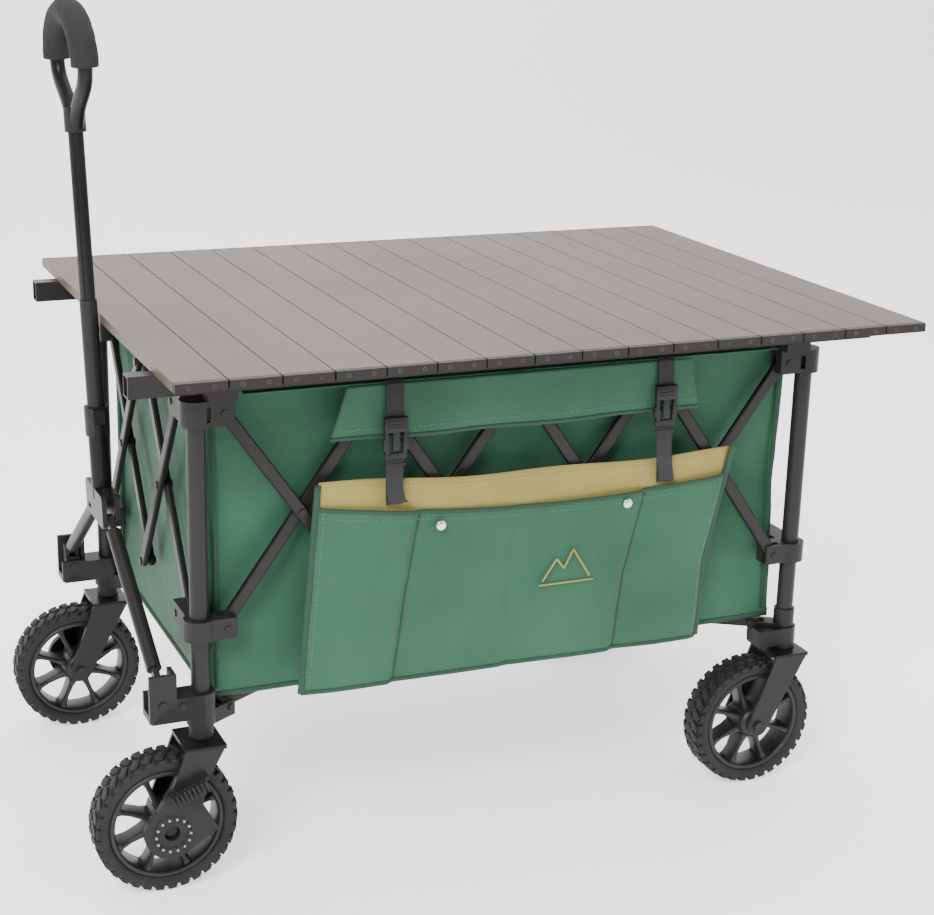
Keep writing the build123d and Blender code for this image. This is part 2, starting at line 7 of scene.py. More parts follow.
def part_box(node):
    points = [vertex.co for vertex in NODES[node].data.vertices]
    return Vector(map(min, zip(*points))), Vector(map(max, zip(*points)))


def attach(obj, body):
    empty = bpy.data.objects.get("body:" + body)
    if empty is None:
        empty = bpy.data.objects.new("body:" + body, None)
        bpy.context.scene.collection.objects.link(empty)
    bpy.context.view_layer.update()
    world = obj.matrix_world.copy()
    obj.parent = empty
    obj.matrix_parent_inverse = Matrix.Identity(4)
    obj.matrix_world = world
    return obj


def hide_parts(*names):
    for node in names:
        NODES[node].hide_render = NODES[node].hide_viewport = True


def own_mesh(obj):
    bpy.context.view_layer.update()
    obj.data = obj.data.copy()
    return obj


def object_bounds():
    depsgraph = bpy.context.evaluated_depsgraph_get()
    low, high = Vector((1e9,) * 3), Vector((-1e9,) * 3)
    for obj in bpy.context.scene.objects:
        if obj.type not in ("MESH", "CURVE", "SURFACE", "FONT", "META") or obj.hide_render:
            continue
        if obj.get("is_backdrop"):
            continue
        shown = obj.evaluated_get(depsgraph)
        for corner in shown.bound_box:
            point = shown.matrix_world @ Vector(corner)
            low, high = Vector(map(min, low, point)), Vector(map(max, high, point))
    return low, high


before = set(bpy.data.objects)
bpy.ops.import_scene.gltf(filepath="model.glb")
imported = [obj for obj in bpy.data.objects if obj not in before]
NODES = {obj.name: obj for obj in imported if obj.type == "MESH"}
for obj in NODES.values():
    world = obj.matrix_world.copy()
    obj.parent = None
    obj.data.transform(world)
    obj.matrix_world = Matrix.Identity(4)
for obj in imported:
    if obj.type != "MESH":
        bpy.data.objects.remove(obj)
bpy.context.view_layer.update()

# sizes, metres; the same frame and names as the part's source
POST_X, POST_Y = 0.470, 0.284
HEM_Z, RIM_Z, WALL_LOW = 0.266, 0.706, 0.2612
WALL_X, WALL_Y = 0.452, 0.262
PANEL_Y = -(POST_Y + 0.020)
STRUT_Z = 0.252
# wheel radius read from the part, and half the tyre's width
WHEEL_R = (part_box("wheel_rear_near")[1].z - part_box("wheel_rear_near")[0].z) / 2
HALF_W = 0.026
SLAT_PITCH, CAP_DEPTH = 0.070, 0.0085
CAP_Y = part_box("table_slats")[1].y - CAP_DEPTH
# wall seams: first point above the hem, height of the line
SEAM_LIFT, SEAM_RISE, SEAM_STEPS = 0.01, 0.42, 20


# ---------------------------------------------------------------- materials
def new_material(name):
    mat = bpy.data.materials.new(name)
    mat.use_nodes = True
    tree = mat.node_tree
    return mat, tree, tree.nodes["Principled BSDF"]


def link(tree, a, b):
    tree.links.new(a, b)


def add(tree, kind, **values):
    node = tree.nodes.new(kind)
    for key, value in values.items():
        if key.startswith("in_"):
            node.inputs[key[3:].replace("_", " ")].default_value = value
        else:
            setattr(node, key, value)
    return node


def ramp(tree, source, stops):
    node = add(tree, "ShaderNodeValToRGB")
    while len(node.color_ramp.elements) < len(stops):
        node.color_ramp.elements.new(0.5)
    for element, (place, colour) in zip(node.color_ramp.elements, stops):
        element.position = place
        element.color = (*colour, 1.0)
    link(tree, source, node.inputs["Fac"])
    return node.outputs["Color"]


def bump(tree, source, strength, distance, normal=None):
    node = add(tree, "ShaderNodeBump", in_Strength=strength, in_Distance=distance)
    link(tree, source, node.inputs["Height"])
    if normal is not None:
        link(tree, normal, node.inputs["Normal"])
    return node.outputs["Normal"]


def coords(tree):
    return add(tree, "ShaderNodeTexCoord").outputs["Object"]


def noise_tex(tree, where, scale, detail=3.0, rough=0.55):
    node = add(tree, "ShaderNodeTexNoise", in_Scale=scale, in_Detail=detail, in_Roughness=rough)
    link(tree, where, node.inputs["Vector"])
    return node.outputs["Fac"]


def fabric(name, dark, light, weave=1500.0, sheen=0.25, rough=0.78):
    mat, tree, shader = new_material(name)
    where = coords(tree)
    cloudy = noise_tex(tree, where, 5.0, 4.0)
    fine = noise_tex(tree, where, 420.0, 2.0)
    mix = add(tree, "ShaderNodeMath", operation="MULTIPLY_ADD")
    mix.inputs[1].default_value = 0.35
    link(tree, fine, mix.inputs[0])
    link(tree, cloudy, mix.inputs[2])
    link(tree, ramp(tree, mix.outputs[0], [(0.35, dark), (0.95, light)]), shader.inputs["Base Color"])
    normal = None
    for direction in ("X", "Z"):
        wave = add(tree, "ShaderNodeTexWave", bands_direction=direction,
                   in_Scale=weave / 6.28, in_Distortion=0.6)
        link(tree, where, wave.inputs["Vector"])
        normal = bump(tree, wave.outputs["Fac"], 0.22, 0.0004, normal)
    crease = noise_tex(tree, where, 14.0, 3.0)
    normal = bump(tree, crease, 0.35, 0.004, normal)
    link(tree, normal, shader.inputs["Normal"])
    shader.inputs["Roughness"].default_value = rough
    shader.inputs["Sheen Weight"].default_value = sheen
    shader.inputs["Sheen Roughness"].default_value = 0.4
    return mat


def hard(name, dark, light, rough, metallic=0.0, grain=900.0, strength=0.15, edge=None,
         specular=0.3):
    mat, tree, shader = new_material(name)
    where = coords(tree)
    cloudy = noise_tex(tree, where, 9.0, 4.0)
    colour = ramp(tree, cloudy, [(0.3, dark), (0.75, light)])
    # painted highlight: edge is a lighter colour laid half-way onto convex edges, which are found by
    # pointiness
    if edge is not None:
        geometry = add(tree, "ShaderNodeNewGeometry")
        edge_highlight = ramp(tree, geometry.outputs["Pointiness"], [(0.515, (0, 0, 0)), (0.56, (1, 1, 1))])
        blend = add(tree, "ShaderNodeMix", data_type="RGBA")
        scaled = add(tree, "ShaderNodeMath", operation="MULTIPLY")
        scaled.inputs[1].default_value = 0.5
        link(tree, edge_highlight, scaled.inputs[0])
        link(tree, scaled.outputs[0], blend.inputs["Factor"])
        link(tree, colour, blend.inputs[6])
        blend.inputs[7].default_value = (*edge, 1.0)
        colour = blend.outputs[2]
    link(tree, colour, shader.inputs["Base Color"])
    speck = noise_tex(tree, where, grain, 3.0)
    link(tree, bump(tree, speck, strength, 0.0003), shader.inputs["Normal"])
    span = add(tree, "ShaderNodeMapRange")
    span.inputs["To Min"].default_value = rough - 0.08
    span.inputs["To Max"].default_value = rough + 0.08
    link(tree, cloudy, span.inputs["Value"])
    link(tree, span.outputs["Result"], shader.inputs["Roughness"])
    shader.inputs["Metallic"].default_value = metallic
    shader.inputs["Specular IOR Level"].default_value = specular
    return mat


def brushed(name, dark, light):
    mat, tree, shader = new_material(name)
    where = coords(tree)
    stretch = add(tree, "ShaderNodeMapping")
    stretch.inputs["Scale"].default_value = (900.0, 9.0, 300.0)
    link(tree, where, stretch.inputs["Vector"])
    lines = noise_tex(tree, stretch.outputs["Vector"], 1.0, 2.0)
    patches = noise_tex(tree, where, 2.6, 2.0)
    metal = ramp(tree, patches, [(0.3, dark), (0.7, light)])
    axes = add(tree, "ShaderNodeSeparateXYZ")
    link(tree, where, axes.inputs[0])
    from_middle = add(tree, "ShaderNodeMath", operation="ABSOLUTE")
    link(tree, axes.outputs["Y"], from_middle.inputs[0])
    cap = add(tree, "ShaderNodeMath", operation="GREATER_THAN")
    cap.inputs[1].default_value = CAP_Y
    link(tree, from_middle.outputs[0], cap.inputs[0])
    blend = add(tree, "ShaderNodeMix", data_type="RGBA")
    link(tree, cap.outputs[0], blend.inputs["Factor"])
    link(tree, metal, blend.inputs[6])
    blend.inputs[7].default_value = (0.020, 0.017, 0.016, 1.0)
    link(tree, blend.outputs[2], shader.inputs["Base Color"])
    shine = add(tree, "ShaderNodeMapRange")
    shine.inputs["To Min"].default_value = 0.30
    shine.inputs["To Max"].default_value = 0.0
    link(tree, cap.outputs[0], shine.inputs["Value"])
    link(tree, shine.outputs["Result"], shader.inputs["Metallic"])
    link(tree, bump(tree, lines, 0.12, 0.0002), shader.inputs["Normal"])
    shader.inputs["Specular IOR Level"].default_value = 0.18
    span = add(tree, "ShaderNodeMapRange")
    span.inputs["To Min"].default_value = 0.36
    span.inputs["To Max"].default_value = 0.50
    link(tree, lines, span.inputs["Value"])
    link(tree, span.outputs["Result"], shader.inputs["Roughness"])
    return mat


GREEN = fabric("green_oxford", (0.008, 0.056, 0.026), (0.022, 0.104, 0.054), sheen=0.08)
GREEN_EDGE = fabric("green_binding", (0.004, 0.030, 0.014), (0.011, 0.054, 0.028), 2200.0, 0.06)
KHAKI = fabric("khaki_band", (0.205, 0.165, 0.038), (0.315, 0.262, 0.066), sheen=0.04)
WEBBING = fabric("black_webbing", (0.005, 0.005, 0.006), (0.014, 0.014, 0.015), 2600.0, 0.06)
THREAD = fabric("green_thread", (0.050, 0.180, 0.110), (0.090, 0.260, 0.170), 3000.0)
# PAINT, PLASTIC and RIM pass a lighter edge colour for the painted edge highlight
PAINT = hard("charcoal_powder_coat", (0.0065, 0.006, 0.006), (0.013, 0.012, 0.012), 0.38, 0.1, 1400.0, 0.12,
             (0.034, 0.032, 0.031), 0.16)
PLASTIC = hard("black_moulding", (0.006, 0.0058, 0.006), (0.012, 0.0115, 0.012), 0.46, 0.0, 1100.0, 0.20,
               (0.028, 0.027, 0.026), 0.18)
RUBBER = hard("tyre_rubber", (0.009, 0.008, 0.008), (0.019, 0.017, 0.0165), 0.66, 0.0, 700.0, 0.30)
RIM = hard("rim_moulding", (0.007, 0.0065, 0.0065), (0.015, 0.014, 0.014), 0.42, 0.0, 1000.0, 0.15,
           (0.03, 0.029, 0.028))
FOAM = hard("grip_foam", (0.012, 0.012, 0.013), (0.026, 0.026, 0.028), 0.85, 0.0, 1500.0, 0.75)
SLAT = brushed("taupe_anodised", (0.085, 0.062, 0.045), (0.130, 0.099, 0.074))
STEEL = hard("zinc_rivet", (0.22, 0.22, 0.22), (0.42, 0.42, 0.42), 0.32, 0.9, 900.0, 0.10)
DULL = hard("dark_rivet", (0.030, 0.029, 0.029), (0.075, 0.072, 0.070), 0.45, 0.6, 900.0, 0.10)
SNAP = hard("nickel_snap", (0.62, 0.61, 0.58), (0.85, 0.84, 0.81), 0.28, 0.9, 900.0, 0.06)

for node_name, node in NODES.items():
    if node_name.startswith(("slider", "foot", "brake", "yoke_pivot")):
        look = PLASTIC
    elif node_name == "grip_foam":
        look = FOAM
    elif node_name == "table_slats":
        look = SLAT
    elif node_name.startswith("wheel"):
        look = RUBBER
    else:
        look = PAINT
    if not node.material_slots:
        node.data.materials.append(look)
    for slot in node.material_slots:
        slot.material = look


# ---------------------------------------------------------------- mesh helpers
def finish_mesh(name, bm, material, smooth=True):
    bmesh.ops.recalc_face_normals(bm, faces=bm.faces)
    mesh = bpy.data.meshes.new(name)
    bm.to_mesh(mesh)
    bm.free()
    piece = bpy.data.objects.new(name, mesh)
    bpy.context.scene.collection.objects.link(piece)
    mesh.materials.append(material)
    for face in mesh.polygons:
        face.use_smooth = smooth
    return piece


def apply_modifiers(piece):
    graph = bpy.context.evaluated_depsgraph_get()
    mesh = bpy.data.meshes.new_from_object(piece.evaluated_get(graph))
    piece.modifiers.clear()
    piece.data = mesh
    return piece


def thicken(piece, thickness):
    solid = piece.modifiers.new("thick", "SOLIDIFY")
    solid.thickness = thickness
    solid.offset = 0.0
    return apply_modifiers(piece)


def grid_sheet(name, place, nu, nv, material, thickness=0.0012):
    """A curved sheet: place(u, v) gives the point at u, v from 0 to 1."""
    bm = bmesh.new()
    rows = [[bm.verts.new(place(i / nu, j / nv)) for j in range(nv + 1)] for i in range(nu + 1)]
    for i in range(nu):
        for j in range(nv):
            bm.faces.new((rows[i][j], rows[i + 1][j], rows[i + 1][j + 1], rows[i][j + 1]))
    return thicken(finish_mesh(name, bm, material), thickness)


def tube_along(name, points, radius, material, flat=1.0, sides=8):
    """A rounded bead that follows points; flat squashes it across Y for bindings."""
    bm = bmesh.new()
    count = len(points)
    rings = []
    for i, point in enumerate(points):
        before = points[i - 1] if i else point
        after = points[i + 1] if i < count - 1 else point
        way = (Vector(after) - Vector(before)).normalized()
        across = way.orthogonal().normalized()
        if abs(way.y) < 0.9:
            across = Vector((0, 1, 0))
            across = (across - way * across.dot(way)).normalized()
        third = way.cross(across)
        ring = []
        for k in range(sides):
            a = 2 * math.pi * k / sides
            offset = across * math.cos(a) * radius * flat + third * math.sin(a) * radius
            ring.append(bm.verts.new(Vector(point) + offset))
        rings.append(ring)
    for a, b in zip(rings, rings[1:]):
        for k in range(sides):
            bm.faces.new((a[k], a[(k + 1) % sides], b[(k + 1) % sides], b[k]))
    bm.faces.new(rings[0])
    bm.faces.new(rings[-1])
    return finish_mesh(name, bm, material)


def lathe(bm, profile, centre, axis, segments=32):
    """Revolves (radius, along) pairs about a line through centre."""
    axis = Vector(axis).normalized()
    one = axis.orthogonal().normalized()
    two = axis.cross(one)
    rings = []
    for radius, along in profile:
        ring = []
        for k in range(segments):
            a = 2 * math.pi * k / segments
            out = one * math.cos(a) + two * math.sin(a)
            ring.append(bm.verts.new(Vector(centre) + axis * along + out * max(radius, 1e-5)))
        rings.append(ring)
    for a, b in zip(rings, rings[1:]):
        for k in range(segments):
            bm.faces.new((a[k], a[(k + 1) % segments], b[(k + 1) % segments], b[k]))
    return rings


def rounded_box(bm, centre, size, turn=None, bevel=0.0015):
    made = bmesh.ops.create_cube(bm, size=1.0)["verts"]
    bmesh.ops.scale(bm, vec=size, verts=made)
    edges = list({e for v in made for e in v.link_edges})
    done = bmesh.ops.bevel(bm, geom=edges, offset=bevel, segments=2, affect="EDGES", profile=0.5)
    verts = list({v for f in done["faces"] for v in f.verts} | {v for v in made if v.is_valid})
    matrix = Matrix.Translation(centre)
    if turn is not None:
        matrix = matrix @ turn
    bmesh.ops.transform(bm, matrix=matrix, verts=verts)
    return verts


def lerp(a, b, t):
    return a + (b - a) * t


def wobble(x, y, z, amount, scale=6.0):
    return amount * noise.noise(Vector((x * scale, y * scale, z * scale)))


def stitches(name, points, material, body, pitch=0.0065, length=0.0042, radius=0.00055):
    """Short thread beads along a line of points."""
    bm = bmesh.new()
    path = [Vector(p) for p in points]
    for a, b in zip(path, path[1:]):
        way = b - a
        count = max(1, int(way.length / pitch))
        for k in range(count):
            start = a + way * (k + 0.2) / count
            end = start + way.normalized() * length
            side = way.normalized().cross(Vector((0, 1, 0)))
            if side.length < 0.1:
                side = way.normalized().orthogonal()
            side.normalize()
            up = way.normalized().cross(side)
            rings = []
            for place, grow in ((start, 0.4), (start.lerp(end, 0.5), 1.0), (end, 0.4)):
                rings.append([bm.verts.new(place + (side * math.cos(t) + up * math.sin(t)) * radius * grow)
                              for t in (0, math.pi / 2, math.pi, 3 * math.pi / 2)])
            for p, q in zip(rings, rings[1:]):
                for i in range(4):
                    bm.faces.new((p[i], p[(i + 1) % 4], q[(i + 1) % 4], q[i]))
            bm.faces.new(rings[0])
            bm.faces.new(rings[-1])
    return soft_ride(finish_mesh(name, bm, material), body)


def soft_ride(piece, body):
    """Fabric follows one corner post."""
    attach(piece, body)
    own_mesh(piece)
    return piece


# ---------------------------------------------------------------- basket
def sag(t):
    return math.sin(math.pi * max(0.0, min(1.0, t)))


def wall(name, sy, body):
    def place(u, v):
        x = -WALL_X + 2 * WALL_X * u
        z = WALL_LOW + (RIM_Z - WALL_LOW) * v
        bow = 0.010 * sag(v) * (0.6 + 0.4 * math.cos(4 * math.pi * u))
        pull = wobble(x, sy, z, 0.006, 7.0) * sag(v) + wobble(x, z, 3.0, 0.0025, 22.0) * sag(v)
        return Vector((x, sy * (WALL_Y - bow) + pull, z))
    piece = soft_ride(grid_sheet(name, place, 120, 56, GREEN), body)
    return piece


def end_wall(name, sx, body):
    reach = WALL_Y - 0.003

    def place(u, v):
        y = -reach + 2 * reach * u
        z = HEM_Z + (RIM_Z - HEM_Z) * v
        bow = 0.012 * sag(v) * (0.6 + 0.4 * math.cos(2 * math.pi * u))
        pull = wobble(sx, y, z, 0.006, 8.0) * sag(v)
        return Vector((sx * (WALL_X - bow) + pull, y, z))
    piece = soft_ride(grid_sheet(name, place, 72, 56, GREEN), body)
    return piece


near_wall = wall("basket_near_wall", -1, "post_front_near")
wall("basket_far_wall", 1, "post_front_far")
end_wall("basket_front_wall", -1, "post_front_near")
end_wall("basket_rear_wall", 1, "post_rear_near")
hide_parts("basket")


def floor_sheet(name, y0, y1, lift, body):
    """A strip along the wagon; its ends stay inside the end walls."""
    reach, folded_reach = WALL_X - 0.004, 0.134

    def place(u, v):
        x = -reach + 2 * reach * u
        y = lerp(y0, y1, v)
        return Vector((x, y, HEM_Z + lift - 0.0012 * sag(u) * sag((y + WALL_Y) / (2 * WALL_Y))))
    piece = grid_sheet(name, place, 60, 14, GREEN)
    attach(piece, body)
    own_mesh(piece)


FLOOR_Y, FLOOR_SPLIT = WALL_Y - 0.005, 0.052
floor_sheet("basket_floor_near", -FLOOR_Y, -FLOOR_SPLIT, 0.0015, "post_front_near")
floor_sheet("basket_floor_middle", -FLOOR_SPLIT, FLOOR_SPLIT, 0.0040, "basket_body")
floor_sheet("basket_floor_far", FLOOR_SPLIT, FLOOR_Y, 0.0065, "post_front_far")

# bindings along the rim and the hem of every wall
for tag, sy, body in (("near", -1, "post_front_near"), ("far", 1, "post_front_far")):
    for edge, z in (("rim", RIM_Z - 0.004), ("hem", WALL_LOW + 0.004)):
        line = [(-WALL_X + 2 * WALL_X * i / 60, sy * (WALL_Y + 0.0005), z) for i in range(61)]
        soft_ride(tube_along(f"binding_{edge}_{tag}", line, 0.0042, GREEN_EDGE, 0.45), body)
    for x in (-WALL_X + 0.012, WALL_X - 0.012):
        side = "front" if x < 0 else "rear"
        line = [(x, sy * (WALL_Y + 0.001), HEM_Z + SEAM_LIFT + SEAM_RISE * i / SEAM_STEPS)
                for i in range(SEAM_STEPS + 1)]
        soft_ride(tube_along(f"corner_seam_{tag}_{side}", line, 0.0022, GREEN_EDGE, 0.5), body)
for tag, sx, body in (("front", -1, "post_front_near"), ("rear", 1, "post_rear_near")):
    for edge, z in (("rim", RIM_Z - 0.004), ("hem", HEM_Z + 0.004)):
        line = [(sx * (WALL_X + 0.0005), -WALL_Y + 0.004 + (2 * WALL_Y - 0.008) * i / 30, z)
                for i in range(31)]
        soft_ride(tube_along(f"binding_{edge}_{tag}", line, 0.0042, GREEN_EDGE, 0.9), body)


# vertical seams and a corner patch on the end walls
for tag, sx, body in (("front", -1, "post_front_near"), ("rear", 1, "post_rear_near")):
    for end, side in (("near", -1), ("far", 1)):
        line = [(sx * (WALL_X - 0.001), side * (WALL_Y - 0.022),
                 HEM_Z + SEAM_LIFT + SEAM_RISE * i / SEAM_STEPS) for i in range(SEAM_STEPS + 1)]
        soft_ride(tube_along(f"end_seam_{tag}_{end}", line, 0.0022, GREEN_EDGE, 0.8), body)


PATCH_SIDE = 0.150


def patch_point(u, v):
    y = -WALL_Y + 0.030 + PATCH_SIDE * u * (1 - v)
    return Vector((-WALL_X - 0.0022, y, HEM_Z + 0.012 + PATCH_SIDE * v))


patch = soft_ride(grid_sheet("corner_patch", patch_point, 16, 16, GREEN_EDGE), "post_front_near")


# ---------------------------------------------------------------- pocket panel
POCKET_Z0 = HEM_Z + 0.002
KHAKI_TOP = 0.570
PLEATS = ((0.0, 0.0), (0.216, 0.238), (0.495, 0.479), (0.773, 0.794), (1.0, 1.0))


def pleat_at(k, v):
    return lerp(PLEATS[k][0], PLEATS[k][1], v)


def pocket_edges(z):
    t = (z - POCKET_Z0) / (KHAKI_TOP - POCKET_Z0)
    left = lerp(-0.333, -0.308, t)
    right = 0.297 + 0.004 * min(1.0, t / 0.4) if t < 0.4 else lerp(0.301, 0.343, (t - 0.4) / 0.6)
    return left, right


def pocket_depth(u, v):
    for k in range(len(PLEATS) - 1):
        a, b = pleat_at(k, v), pleat_at(k + 1, v)
        if a <= u <= b:
            t = (u - a) / (b - a)
            rise = math.sin(math.pi / 2 * min(1.0, t / 0.93)) ** 0.8
            fall = 1.0 if t < 0.93 else (1.0 - t) / 0.07
            deep = 0.0045 if k == 1 else 0.0110
            return 0.0008 + deep * rise * fall * (0.55 + 0.45 * sag(0.12 + 0.8 * v))
    return 0.0015


def pocket_top(u):
    return lerp(0.536, 0.521, u) - 0.022 * sag(u) ** 0.9


def khaki_top(u):
    return lerp(0.573, 0.561, u) - 0.008 * sag(u) + 0.0015 * math.sin(14 * u)


def pocket_point(u, v):
    z = lerp(POCKET_Z0, pocket_top(u), v)
    left, right = pocket_edges(z)
    x = lerp(left, right, u)
    y = PANEL_Y - pocket_depth(u, v) + wobble(x, 1.0, z, 0.0018, 16.0)
    return Vector((x, y, z))


pockets = soft_ride(grid_sheet("pocket_front", pocket_point, 220, 46, GREEN), "post_front_near")
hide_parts("pocket_panel")


def band_point(u, v):
    z = lerp(pocket_top(u) - 0.012, khaki_top(u), v)
    left, right = pocket_edges(z)
    return Vector((lerp(left + 0.002, right - 0.002, u), PANEL_Y + 0.0012 + 0.002 * math.sin(14 * u) * v, z))


band = soft_ride(grid_sheet("pocket_back_band", band_point, 120, 8, KHAKI), "post_front_near")

# edge bindings, dark pleat beads (painted shade lines along the folds), hem and top edge of the pockets
for tag, u in (("left", 0.0), ("right", 1.0)):
    line = []
    for i in range(25):
        z = lerp(POCKET_Z0, KHAKI_TOP, i / 24)
        line.append((pocket_edges(z)[int(u)], PANEL_Y - 0.0022, z))
    soft_ride(tube_along(f"pocket_binding_{tag}", line, 0.0050, GREEN_EDGE, 0.40), "post_front_near")
for tag, v in (("top", 1.0), ("hem", 0.0)):
    line = [tuple(pocket_point(i / 90, v) + Vector((0, -0.0006, 0))) for i in range(91)]
    soft_ride(tube_along(f"pocket_binding_{tag}", line, 0.0034, GREEN_EDGE, 0.45), "post_front_near")
# painted shade: dark beads along pleats 1 and 3 stand for the shadowed step of each fold
for k in (1, 3):
    line = [tuple(pocket_point(pleat_at(k, i / 24), i / 24) + Vector((0.001, -0.0004, 0))) for i in range(25)]
    soft_ride(tube_along(f"pleat_shade_line_{k}", line, 0.0022, GREEN_EDGE, 0.7), "post_front_near")
for tag, u in (("left", 0.018), ("right", 0.982)):
    line = [tuple(pocket_point(u, i / 40) + Vector((0, -0.0009, 0))) for i in range(41)]
    stitches(f"pocket_stitches_{tag}", line, THREAD, "post_front_near")
line = [tuple(pocket_point(i / 90, 0.955) + Vector((0, -0.0009, 0))) for i in range(91)]
stitches("pocket_stitches_top", line, THREAD, "post_front_near")
line = [tuple(band_point(i / 90, 0.86) + Vector((0, -0.0009, 0))) for i in range(91)]
stitches("band_stitches", line, KHAKI, "post_front_near")
for k, (x, z) in enumerate(((-0.130, 0.496), (0.164, 0.496))):
    bm = bmesh.new()
    lathe(bm, [(0, 0), (0.0075, 0), (0.0078, 0.0012), (0.0066, 0.0028), (0.003, 0.0036), (0, 0.0034)],
          (x, PANEL_Y - 0.0108, z), (0, -1, 0), 24)
    snap = finish_mesh(f"snap_{k}", bm, SNAP)
    soft_ride(snap, "post_front_near")


# ---------------------------------------------------------------- flap over the rail
FLAP_LOW, FLAP_TOP = 0.632, RIM_Z - 0.002


def flap_point(u, v):
    z = lerp(FLAP_LOW, FLAP_TOP, v)
    left, right = lerp(-0.290, -0.266, v), lerp(0.276, 0.262, v)
    x = lerp(left, right, u)
    wave = 0.0035 * math.sin(17 * u + 0.6) * (1 - v) ** 1.3 + wobble(x, 2.0, z, 0.002, 12.0)
    return Vector((x, PANEL_Y - 0.0005 + wave, z - 0.003 * sag(u) * (1 - v)))


flap = soft_ride(grid_sheet("rim_flap", flap_point, 110, 18, GREEN), "post_front_near")
line = [tuple(flap_point(i / 70, 0.0) + Vector((0, -0.0006, 0))) for i in range(71)]
soft_ride(tube_along("flap_hem", line, 0.0030, GREEN_EDGE, 0.5), "post_front_near")
line = [tuple(flap_point(i / 70, 0.16) + Vector((0, -0.0011, 0))) for i in range(71)]
stitches("flap_stitches", line, THREAD, "post_front_near")


def cover_point(u, v):
    x = lerp(-0.410, 0.410, u)
    y = lerp(-WALL_Y, PANEL_Y + 0.001, v)
    return Vector((x, y, RIM_Z + 0.0012 * sag(v) + wobble(x, y, 1.0, 0.0008, 20.0)))


cover = soft_ride(grid_sheet("rim_cover", cover_point, 80, 8, GREEN), "post_front_near")


# ---------------------------------------------------------------- straps and buckles
def strap_piece(name, x, points, width=0.025, thick=0.0016):
    bm = bmesh.new()
    rows = []
    for i, (dx, y, z) in enumerate(points):
        before, after = points[max(0, i - 1)], points[min(len(points) - 1, i + 1)]
        way = Vector((after[0] - before[0], after[1] - before[1], after[2] - before[2])).normalized()
        out = Vector((1, 0, 0)).cross(way).normalized() * thick / 2
        half = width / 2
        ring = [Vector((x + dx - half, y, z)) - out, Vector((x + dx - half, y, z)) + out,
                Vector((x + dx + half, y, z)) + out, Vector((x + dx + half, y, z)) - out]
        rows.append([bm.verts.new(p) for p in ring])
    for a, b in zip(rows, rows[1:]):
        for k in range(4):
            bm.faces.new((a[k], a[(k + 1) % 4], b[(k + 1) % 4], b[k]))
    bm.faces.new(rows[0])
    bm.faces.new(rows[-1])
    return soft_ride(finish_mesh(name, bm, WEBBING, False), "post_front_near")


def buckle(name, x, z0, z1):
    y = PANEL_Y - 0.0090
    bm = bmesh.new()
    mid = (z0 + z1) / 2
    rounded_box(bm, (x, y, z1 - 0.012), (0.034, 0.0085, 0.022), None, 0.0022)
    rounded_box(bm, (x, y, z0 + 0.006), (0.033, 0.0060, 0.009), None, 0.0018)
    for side in (-1, 1):
        rounded_box(bm, (x + side * 0.0135, y, mid - 0.004), (0.0055, 0.0075, z1 - z0 - 0.026),
                    Matrix.Rotation(side * 0.05, 4, "Y"), 0.0014)
        rounded_box(bm, (x + side * 0.0165, y - 0.0004, mid - 0.009), (0.0040, 0.0062, 0.017), None, 0.0012)
    rounded_box(bm, (x, y - 0.0005, mid - 0.002), (0.010, 0.0065, z1 - z0 - 0.030), None, 0.0014)
    for k in range(3):
        rounded_box(bm, (x, y - 0.0044, z1 - 0.007 - 0.0045 * k), (0.022, 0.0012, 0.0016), None, 0.0004)
    rounded_box(bm, (x, y - 0.001, z0 - 0.006), (0.030, 0.0050, 0.0040), None, 0.0014)
    soft_ride(finish_mesh(name, bm, PLASTIC), "post_front_near")


# side, x, buckle's lower and upper end, strap's lower end
STRAPS = (("left", -0.199, 0.598, 0.660, 0.532), ("right", 0.219, 0.607, 0.670, 0.520))
strap_front = None
for tag, x, b0, b1, low in STRAPS:
    y = PANEL_Y - 0.0055
    upper = [(0, PANEL_Y + 0.012, 0.7085), (0, PANEL_Y - 0.001, 0.7083), (0, PANEL_Y - 0.0040, 0.7040),
             (0, y, 0.690), (0, y - 0.001, b1 - 0.010)]
    strap_front = strap_piece(f"strap_upper_{tag}", x, upper)
    lean = 0.004 if tag == "right" else 0.001
    lower = [(0, y - 0.0035, b0 + 0.004), (0.3 * lean, y - 0.003, b0 - 0.010),
             (lean, PANEL_Y - 0.0045, lerp(b0, low, 0.5)), (1.5 * lean, PANEL_Y - 0.0030, KHAKI_TOP - 0.004),
             (2.0 * lean, PANEL_Y - 0.0032, low)]
    strap_piece(f"strap_lower_{tag}", x, lower)
    tail = [(-0.002, y - 0.0046, b0 - 0.002), (-0.003, y - 0.0085, b0 - 0.020),
            (-0.002, y - 0.0090, b0 - 0.042), (0.003, y - 0.0060, b0 - 0.058),
            (0.008, y - 0.0045, low + 0.004)]
    strap_piece(f"strap_tail_{tag}", x, tail, 0.024)
    buckle(f"buckle_{tag}", x, b0, b1)
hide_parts("straps")

# small generic mountain outline on the middle pocket, stitched from two peaks
MARK_Y = PANEL_Y - 0.0128
peak = [(0.030, 0.392), (0.052, 0.424), (0.064, 0.408), (0.078, 0.436), (0.106, 0.392)]
line = []
for (x0, z0), (x1, z1) in zip(peak, peak[1:]):
    for i in range(8):
        t = i / 8
        line.append((lerp(x0, x1, t), MARK_Y, lerp(z0, z1, t)))
line.append((peak[-1][0], MARK_Y, peak[-1][1]))
soft_ride(tube_along("mountain_mark", line, 0.0016, KHAKI, 0.5), "post_front_near")
line = [(0.024 + 0.088 * i / 20, MARK_Y, 0.386) for i in range(21)]
soft_ride(tube_along("mountain_base_line", line, 0.0013, KHAKI, 0.5), "post_front_near")


